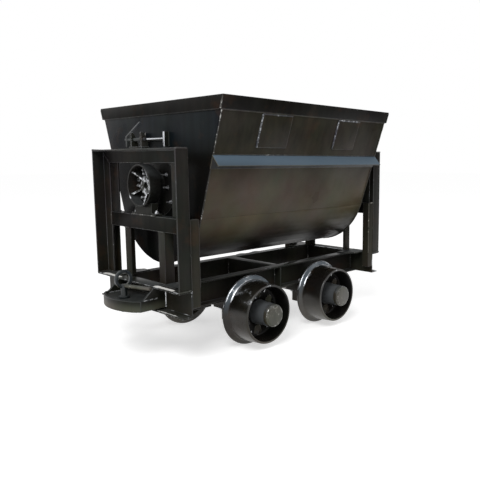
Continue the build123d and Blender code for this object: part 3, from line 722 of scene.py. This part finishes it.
# The hub's barrel is tinted pale blue-grey and made glossier: a painted reflection of the sky on its
# gloss.
wheel_colour = mix(wheel_tree, wheel_hub_sheen, wheel_colour, (0.082, 0.088, 0.092, 1.0))
wheel_shine = mix(wheel_tree, wheel_dish_shade, wheel_coat["Specular"], 0.06, "FLOAT")
wheel_rough = mix(wheel_tree, wheel_hub_sheen, wheel_coat["Roughness"], 0.30, "FLOAT")
wheel_bump = add_node(wheel_tree, "ShaderNodeBump", {
    "Distance": BRUSHED_DEPTH, "Strength": 0.6, "Height": wheel_coat["Height"],
})
feed(wheel_tree, wheel_tree.nodes["Principled BSDF"], {
    "Base Color": mix(wheel_tree, wheel_bare, wheel_colour, (0.50, 0.52, 0.55, 1.0)),
    "Metallic": wheel_bare,
    "Roughness": mix(wheel_tree, wheel_bare, wheel_rough, 0.32, "FLOAT"),
    "Specular IOR Level": mix(wheel_tree, wheel_hub_sheen, wheel_shine, 1.0, "FLOAT"),
    "Normal": wheel_bump.outputs["Normal"],
})


def opening_middle(end, side, k, out):
    """The middle of one of a wheel's web openings, out metres from the cart's middle plane."""
    a = math.radians(OPENING_TURN * k + OPENING_TURN / 2)
    x = end * AXLE_OUT + OPENING_PITCH_R * math.cos(a)
    return Vector((x, side * out, AXLE_UP + OPENING_PITCH_R * math.sin(a)))


def wheel_casting(node, end, side):
    """A wheel turned from its profile, marked where it is worn and where its looks change."""
    turned = bmesh.new()
    worn, hub, flange_sheen_mask, dish = [
        turned.verts.layers.float.new(name) for name in ("worn", "hub", "flange sheen", "dish")
    ]
    rings = []
    for k in range(WHEEL_STEPS):
        a = 2 * math.pi * k / WHEEL_STEPS
        ring = []
        for y, r, rubbed_share in WHEEL_PROFILE:
            x = end * AXLE_OUT + r / 1000 * math.cos(a)
            vert = turned.verts.new((x, side * y / 1000, AXLE_UP + r / 1000 * math.sin(a)))
            vert[worn] = rubbed_share
            vert[hub] = y > HUB_FROM_Y and r < HUB_TOP_R
            vert[flange_sheen_mask] = FLANGE_FACE_IN_Y < y < FLANGE_FACE_OUT_Y and r > FLANGE_FACE_R
            vert[dish] = y > DISH_FROM_Y and DISH_LOW_R < r < DISH_TOP_R
            ring.append(vert)
        rings.append(ring)
    for ring, after in zip(rings, rings[1:] + rings[:1]):
        for i in range(len(WHEEL_PROFILE)):
            j = (i + 1) % len(WHEEL_PROFILE)
            face = turned.faces.new((ring[i], ring[j], after[j], after[i]))
            face.smooth = True
    bmesh.ops.recalc_face_normals(turned, faces=turned.faces)
    mesh = bpy.data.meshes.new(node)
    turned.to_mesh(mesh)
    turned.free()
    mesh.materials.append(wheel_paint)
    return new_piece(node + "_casting", mesh)


def web_cores(end, side):
    """Round cores that leave the openings in a wheel's web."""
    cores = bmesh.new()
    for k in range(WEB_OPENINGS):
        middle = opening_middle(end, side, k, WEB_MIDDLE)
        rims = []
        for level in (-CORE_HALF, CORE_HALF):
            rim = []
            for q in range(OPENING_STEPS):
                a = 2 * math.pi * q / OPENING_STEPS
                out = Vector((OPENING_R * math.cos(a), level, OPENING_R * math.sin(a)))
                rim.append(cores.verts.new(middle + out))
            rims.append(rim)
            cores.faces.new(rim)
        for q in range(OPENING_STEPS):
            p = (q + 1) % OPENING_STEPS
            cores.faces.new((rims[0][q], rims[0][p], rims[1][p], rims[1][q]))
    bmesh.ops.recalc_face_normals(cores, faces=cores.faces)
    mesh = bpy.data.meshes.new("web cores")
    cores.to_mesh(mesh)
    cores.free()
    return new_piece("web cores", mesh)


for end_name, end in (("front", FRONT), ("rear", REAR)):
    for side_name, side in (("left", -1), ("right", 1)):
        node = "wheel_" + end_name + "_" + side_name
        wheel = wheel_casting(node, end, side)
        core = web_cores(end, side)
        cut = wheel.modifiers.new("web openings", "BOOLEAN")
        cut.object = core
        cut.operation = "DIFFERENCE"
        cut.solver = "EXACT"
        rounded = wheel.modifiers.new("rounded openings", "BEVEL")
        rounded.width = OPENING_ROUNDING
        rounded.segments = 2
        rounded.limit_method = "ANGLE"
        rounded.angle_limit = math.radians(50.0)
        rounded.harden_normals = True
        settle(wheel)
        bpy.data.objects.remove(core)
        # The openings' rims are marked rubbed, bright only high on the wheel: partly wear, partly a
        # painted highlight.
        worn_now = wheel.data.attributes["worn"]
        for vert in wheel.data.vertices:
            for k in range(WEB_OPENINGS):
                away = vert.co - opening_middle(end, side, k, WEB_MIDDLE)
                if math.hypot(away.x, away.z) < OPENING_EDGE_R and abs(vert.co.y) < WEB_FACE:
                    worn_now.data[vert.index].value = OPENING_RUBBED_AND_LIT
        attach(wheel, "wheelset_" + end_name)
        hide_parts(node)

# A dark mud-coloured fill in the web openings, dished in the middle: painted shade where the view
# through them is dark.
# The short bright beads on the web between them stand in for glints: painted highlights.
# Columns: radius and depth below the web's face, in metres.
FILL_RINGS = ((0.0236, 0.0), (0.0190, 0.0022), (0.0130, 0.0060), (0.0060, 0.0075))
FILL_FACE = 0.329
FILL_LUMPS = 0.0012
FILL_STEPS = 24
WEB_GLINT_Y = 334.5
WEB_GLINT_TURN = 4
WEB_GLINT_ENDS_R = (103, 119)
opening_fill = painted("dark fill in the openings", (0.050, 0.047, 0.036), 0.60, 3.0, 0.8, (0.20, 0.20, 0.17), 0.22, 90.0)


def fill_opening(packed, middle, side, k):
    """Packs one web opening with the dark fill: lumpy rings that step down to a flat middle."""
    circles = []
    for r, depth in FILL_RINGS:
        circle = []
        for q in range(FILL_STEPS):
            a = 2 * math.pi * q / FILL_STEPS
            sunk = depth + FILL_LUMPS * math.sin(5.0 * q + 2.3 * k)
            place = middle + Vector((r * math.cos(a), -side * sunk, r * math.sin(a)))
            circle.append(packed.verts.new(place))
        circles.append(circle)
    for outer, inner in zip(circles, circles[1:]):
        for q in range(FILL_STEPS):
            p = (q + 1) % FILL_STEPS
            packed.faces.new((outer[q], outer[p], inner[p], inner[q]))
    packed.faces.new(circles[-1])


for end_name, end in (("front", FRONT), ("rear", REAR)):
    packed = bmesh.new()
    web_glint_runs = []
    for side in (-1, 1):
        for k in range(WEB_OPENINGS):
            fill_opening(packed, opening_middle(end, side, k, FILL_FACE), side, k)
            a = math.radians(OPENING_TURN * k + WEB_GLINT_TURN)
            web_glint_runs.append([
                (end * AXLE_X + r * math.cos(a), side * WEB_GLINT_Y, AXLE_Z + r * math.sin(a))
                for r in WEB_GLINT_ENDS_R
            ])
    for face in packed.faces:
        face.smooth = True
    mesh = bpy.data.meshes.new("opening_fill_" + end_name)
    packed.to_mesh(mesh)
    packed.free()
    mesh.materials.append(opening_fill)
    piece = new_piece("opening_fill_" + end_name, mesh)
    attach(piece, "wheelset_" + end_name)
    weld("web_glints_" + end_name, web_glint_runs, 2.6, "wheelset_" + end_name, weld_bright)

# Hub caps and axles: a bevelled cap closes each hub over the axle's end. The axle is a plain
# steel bar, dark with old grease and bright in patches.
cap_paint = painted(
    "hub cap", (0.043, 0.039, 0.030), 0.26, 2.4, 0.6, (0.24, 0.235, 0.21), 0.32, 70.0,
    shine=0.45, rust=0.8,
)
# The bevels round the cap are lighter and rubbed to steel: wear, and a painted reflection of the sky.
cap_edge_rubbed_and_lit = painted(
    "hub cap edge", (0.060, 0.058, 0.048), 0.26, 1.0, 0.3, (0.32, 0.32, 0.31), 0.40, 60.0
)
axle_steel = painted("axle", (0.045, 0.043, 0.040), 0.42, 1.0, 0.3, (0.22, 0.21, 0.20), 0.7, 24.0)
for end_name in ("front", "rear"):
    caps = plate_work("hub_caps_" + end_name, 0.003, faces=cap_paint, edges=cap_edge_rubbed_and_lit)
    axle = plate_work("axle_" + end_name, 0.002, faces=axle_steel, edges=axle_steel)

# Bumpers: a thick bar bent to a half moon round a sunk tray, with a gusset on each side up to
# the beam. The front one holds the coupling pin with its ring and side handle.
PIN_X = -0.818
PIN_CLEAR_R = 0.018
HANDLE_LOW_Z, HANDLE_TOP_Z = 0.345, 0.367
GUSSET_OUT, GUSSET_IN = 161, 147
BEAM_FACE = 695
bumper_black = painted(
    "bumper scuffed olive", (0.0100, 0.0096, 0.0078), 0.34, 1.6, 0.5, BARE_STEEL, 0.10, 30.0,
    dirt_and_light=0.9, dirt_and_light_top=0.304, dirt_and_light_bottom=0.262, shine=0.10, dirt_and_light_colour=(0.076, 0.071, 0.056),
)
pin_black = painted(
    "coupling pin", (0.014, 0.018, 0.021), 0.28, 0.8, 0.4, BARE_STEEL, 0.24, 60.0, shine=0.4
)
pin_handle = painted(
    "pin handle", (0.090, 0.084, 0.070), 0.34, 0.8, 0.4, (0.40, 0.39, 0.36), 0.28, 40.0, rust=0.6
)


def handle_bar(middle, facing):
    """True on the side handle, which hands and boots keep free of paint."""
    away = math.hypot(middle.x - PIN_X, middle.y)
    return HANDLE_LOW_Z < middle.z < HANDLE_TOP_Z and away > PIN_CLEAR_R


for end_name in ("front", "rear"):
    plate_work("bumper_" + end_name, 0.0022, faces=bumper_black)
plate_work("coupling_pin", 0.0028, pin_black, pin_handle, handle_bar)
weld("bumper_welds", repeated([
    [(BEAM_FACE, GUSSET_OUT, 258), (BEAM_FACE, GUSSET_OUT, 350)],
    [(BEAM_FACE + 2, GUSSET_IN, 298), (BEAM_FACE + 2, GUSSET_IN, 352)],
    [(700, GUSSET_IN + 0.5, 298), (812, GUSSET_IN + 0.5, 298)],
    [(740, GUSSET_OUT, 307), (812, GUSSET_OUT, 307)],
]) + repeated([
    [(BEAM_FACE, -140, 298), (BEAM_FACE, 140, 298)],
], BOTH_ENDS), 3.6, "frame", weld_bright)

# Locks: two cut ears on each portal's top beam, a round shaft through them and a cranked
# lever that drops over the keeper on the tub.
ear_edge = painted(
    "lock ear cut edge", (0.030, 0.031, 0.033), 0.28, 0.6, 0.3, (0.58, 0.60, 0.64), 0.62, 60.0
)
lever_black = painted(
    "lock lever", (0.040, 0.042, 0.045), 0.30, 0.8, 0.4, BARE_STEEL, 0.12, 30.0, shine=0.2
)
for end_name in ("front", "rear"):
    plate_work("lock_bracket_" + end_name, 0.0022, edges=ear_edge)
    plate_work("lock_lever_" + end_name, 0.0020, faces=lever_black)

# Tub sheets: 6 millimetre plate. The leaning sides are welded to the rolled bottom and to the
# end plates. Outside they are brushed with black paint, and inside the ore has scoured them.
LEAN = math.radians(18.6)
BOTTOM_R = 345
BOTTOM_Z = 785
BEND_Y = BOTTOM_R * math.cos(LEAN)
BEND_Z = BOTTOM_Z - BOTTOM_R * math.sin(LEAN)
INWARDS = -0.1
# The sides turn lighter and browner downwards from 1.08 metres: a painted reflection of the ground.
side_black_ground_sheen = painted(
    "black on the sides, lighter low down", (0.0188, 0.0165, 0.0104), 0.30, 1.2, 0.4,
    dirt_and_light=1.0, dirt_and_light_top=1.08, dirt_and_light_bottom=0.70, shine=0.08, dirt_and_light_colour=(0.077, 0.063, 0.042),
)
# The round bottom is lighter and browner near its top, dark below: a painted reflection of the ground
# over painted shade.
bottom_black_shade_and_sheen = painted(
    "black on the round bottom", (0.0060, 0.0056, 0.0050), 0.34, 1.2, 0.4,
    dirt_and_light=1.0, dirt_and_light_top=0.49, dirt_and_light_bottom=0.66, shine=0.08, dirt_and_light_colour=(0.084, 0.070, 0.047),
)
# The ends darken below 1.06 metres, fully below 0.93: painted shade under the portal's top beam.
end_black_shaded_low = painted(
    "black on the ends, shaded low down", (0.0064, 0.0086, 0.0102), 0.28, 1.0, 0.5,
    dirt_and_light=0.9, dirt_and_light_top=1.06, dirt_and_light_bottom=0.93, shine=0.04, dirt_and_light_colour=(0.0045, 0.0040, 0.0036),
)
scoured = painted(
    "scoured by ore", (0.060, 0.054, 0.045), 0.44, 2.2, 0.8, (0.30, 0.30, 0.29), 0.38, 12.0, rust=1.0,
    dust_and_sheen=(0.110, 0.098, 0.080),
)


def tub_inside(middle, facing):
    """True on the inner faces of the tub, which look towards the middle of its round bottom."""
    return facing.dot(middle - Vector((0, 0, BOTTOM_Z / 1000))) < INWARDS


def side_y(z):
    """How far out the face of the tub's side is at a height, in millimetres."""
    return BEND_Y + (z - BEND_Z) * math.tan(LEAN)


for node in ("tub_side_left", "tub_side_right"):
    plate_work(node, 0.0014, side_black_ground_sheen, scoured, tub_inside)
plate_work("tub_bottom", 0.0014, bottom_black_shade_and_sheen, scoured, tub_inside)
for node in ("tub_end_front", "tub_end_rear"):
    plate_work(node, 0.0014, end_black_shaded_low, scoured, tub_inside)
OUTER_BEAD_X, INNER_BEAD_X = 606, 604
BAND_LOW = 1159
ROLL_FROM, ROLL_TURN, ROLL_STEPS = -161.4, 142.8, 24
end_runs = []
for side in (-1, 1):
    for x, out in ((OUTER_BEAD_X, 1), (INNER_BEAD_X, -8)):
        end_runs.append([(x, side * (side_y(z) + out), z) for z in (BEND_Z, BAND_LOW - 1)])
for x, r in ((OUTER_BEAD_X, BOTTOM_R + 1), (INNER_BEAD_X, BOTTOM_R - 7)):
    sweep = [math.radians(ROLL_FROM + ROLL_TURN * k / ROLL_STEPS) for k in range(ROLL_STEPS + 1)]
    end_runs.append([(x, r * math.cos(a), BOTTOM_Z + r * math.sin(a)) for a in sweep])
weld("front_tub_welds", repeated(end_runs, BOTH_ENDS[:1]), 3.2, "tub", weld_black)
weld("rear_tub_welds", repeated(end_runs, BOTH_ENDS[1:]), 2.8, "tub", weld_smooth)
weld("tub_seams", repeated([
    [(-602, BEND_Y - 7.2, BEND_Z + 2.4), (602, BEND_Y - 7.2, BEND_Z + 2.4)],
], BOTH_SIDES), 1.6, "tub", side_black_ground_sheen)

# Rim band, ledges, patches and keepers: flat bar round the mouth, a bent ledge along each side,
# two repair plates on the left side, and on each end the keeper of the lock. All are welded
# along their edges.
band_black = painted("black on the rim band", (0.0065, 0.0060, 0.0050), 0.34, 1.0, 0.5, shine=0.05)
plate_work("rim_band", 0.0016, faces=band_black)
# The ledge's up-facing faces are covered in blue-grey: a painted reflection of the sky, not dust.
ledge_sky_sheen = painted("ledge", (0.0090, 0.0095, 0.0100), 0.28, 0.8, 1.0, dust_and_sheen=(0.080, 0.116, 0.152))
ledge_edge = painted(
    "ledge rusty at edges", (0.072, 0.066, 0.054), 0.32, 0.4, 0.4, (0.40, 0.39, 0.36), 0.16, 16.0
)
plate_work("side_ledges", 0.0018, faces=ledge_sky_sheen, edges=ledge_edge)
plate_work("patch_plates", 0.0014, faces=side_black_ground_sheen)
KEEPER_BAR_HALF = 0.0925
KEEPER_FRONT_X = 0.6355
keeper_worn_and_highlit = painted(
    "keeper worn bright and highlit", (0.030, 0.030, 0.030), 0.28, 0.6, 0.3, (0.76, 0.78, 0.82), 0.74, 90.0
)


def keeper_front(middle, facing):
    """True on the top of the keeper's bar and on the fronts of its ears, where the lever strikes; on
    the bar it is also a painted highlight.
    """
    struck_and_lit_bar = abs(middle.y) < KEEPER_BAR_HALF and facing.z > 0.15
    return struck_and_lit_bar or (abs(facing.x) > 0.3 and abs(middle.x) > KEEPER_FRONT_X)


plate_work("keepers", 0.0022, body_black, keeper_worn_and_highlit, keeper_front)
TUB_END = 613.5
LEDGE_TOP = 968
KEEPER_LOW, KEEPER_TOP = 1009, 1077
EAR_IN_Y, EAR_OUT_Y = 93, 107
PATCH_SPANS = ((-361, -168), (190, 368))
PATCH_TOP, PATCH_LOW = 1153.5, 1003.5
ledge_y = side_y(LEDGE_TOP) + 1.0
side_fillet_y = side_y(BAND_LOW) + 1.5
end_fillet_y = side_y(BAND_LOW) - 6
rim_runs = repeated([
    [(617.6, side_y(z) + 5.6, z) for z in (1162, 1212)],
    [(TUB_END, EAR_IN_Y, KEEPER_LOW), (TUB_END, EAR_IN_Y, KEEPER_TOP)],
    [(TUB_END, EAR_OUT_Y, KEEPER_LOW), (TUB_END, EAR_OUT_Y, KEEPER_TOP)],
]) + repeated([
    [(-610, ledge_y, LEDGE_TOP + 1), (610, ledge_y, LEDGE_TOP + 1)],
], BOTH_SIDES)
fillet_runs = repeated([
    [(-608, side_fillet_y, BAND_LOW), (608, side_fillet_y, BAND_LOW)],
], BOTH_SIDES)
end_fillet_runs = repeated([
    [(TUB_END, -end_fillet_y, BAND_LOW), (TUB_END, end_fillet_y, BAND_LOW)],
], BOTH_ENDS)
# The beads on the patches' top and left edges are thicker, lighter and bluer than the rest: painted
# highlights where the light falls.
lit_patch_runs = []
high, low = [(-side_y(z) - 1.5, z) for z in (PATCH_TOP, PATCH_LOW)]
for x0, x1 in PATCH_SPANS:
    fillet_runs.append([(x0 - 1, *low), (x1 + 1, *low), (x1 + 1, *high)])
    lit_patch_runs.append([(x1 + 1, *high), (x0 - 1, *high), (x0 - 1, *low)])
weld("patch_welds", lit_patch_runs, 5.2, "tub", weld_patch_highlit)
weld("rim_welds", rim_runs, 3.2, "tub", weld_black)
weld("band_fillets", fillet_runs, 2.4, "tub", weld_smooth)
weld("band_end_fillets", end_fillet_runs, 2.2, "tub", weld_dull)

# Trunnions: a cast drum with five ribs on a flanged base, bolted round and welded to each end
# plate. It turns in the cradle's saddle and takes the tub's weight.
DRUM_Z = 824
RIM_FACE_X = 0.7165
RIM_IN_R = 0.0925
RIM_RUBBED_R, RIM_RUBBED_Z = 0.09, 0.80
RIB_FACES_X = 0.6780
drum_black = painted("black on the drums", (0.0080, 0.0076, 0.0070), 0.34, 2.4, 0.5, shine=0.14)
drum_rubbed_and_highlit = painted("drum rubbed and highlit at edges", THIN_BLACK, 0.34, 1.0, 0.4, (0.78, 0.80, 0.84), 0.50, 52.0)


def drum_front(middle, facing):
    """True on the fronts of the ribs and the boss, and low on the rim, which turns on the saddle; the
    bright there is also a painted highlight.
    """
    away = math.hypot(middle.y, middle.z - DRUM_Z / 1000)
    on_rim = abs(middle.x) > RIM_FACE_X or away > RIM_IN_R
    if on_rim and (away < RIM_RUBBED_R or middle.z > RIM_RUBBED_Z):
        return False
    return abs(facing.x) > 0.3 and abs(middle.x) > RIB_FACES_X


for end_name in ("front", "rear"):
    plate_work("trunnion_" + end_name, 0.0022, drum_black, drum_rubbed_and_highlit, drum_front)
BASE_BEAD_R = 150.5
BASE_BEAD_STEPS = 48
base_bead = []
for k in range(BASE_BEAD_STEPS + 1):
    a = 2 * math.pi * k / BASE_BEAD_STEPS
    base_bead.append((613, BASE_BEAD_R * math.cos(a), DRUM_Z + BASE_BEAD_R * math.sin(a)))
weld("trunnion_welds", repeated([base_bead], BOTH_ENDS), 3.2, "tub", weld_black)
RIBS = 5
FIRST_RIB = 43.6
BASE_FACE = 619.8
DRUM_FLOOR = 669.8
drum_bolts = []
disc_bolts = []
for end in (FRONT, REAR):
    for y, z in ((90, 52), (97, -8), (119, -77)):
        for side in (-1, 1):
            disc_bolts.append(((end * BASE_FACE, side * y, DRUM_Z + z), (end, 0, 0)))
    for k in range(RIBS):
        for r, turn in ((60, 24), (76, 48), (78, 26)):
            a = math.radians(FIRST_RIB + 360 / RIBS * k + turn)
            place = (end * DRUM_FLOOR, -end * r * math.cos(a), DRUM_Z + r * math.sin(a))
            drum_bolts.append((place, (end, 0, 0)))
bolts("drum_bolts", drum_bolts, 13, 3, "tub")
bolts("disc_bolts", disc_bolts, 14, 18, "tub")
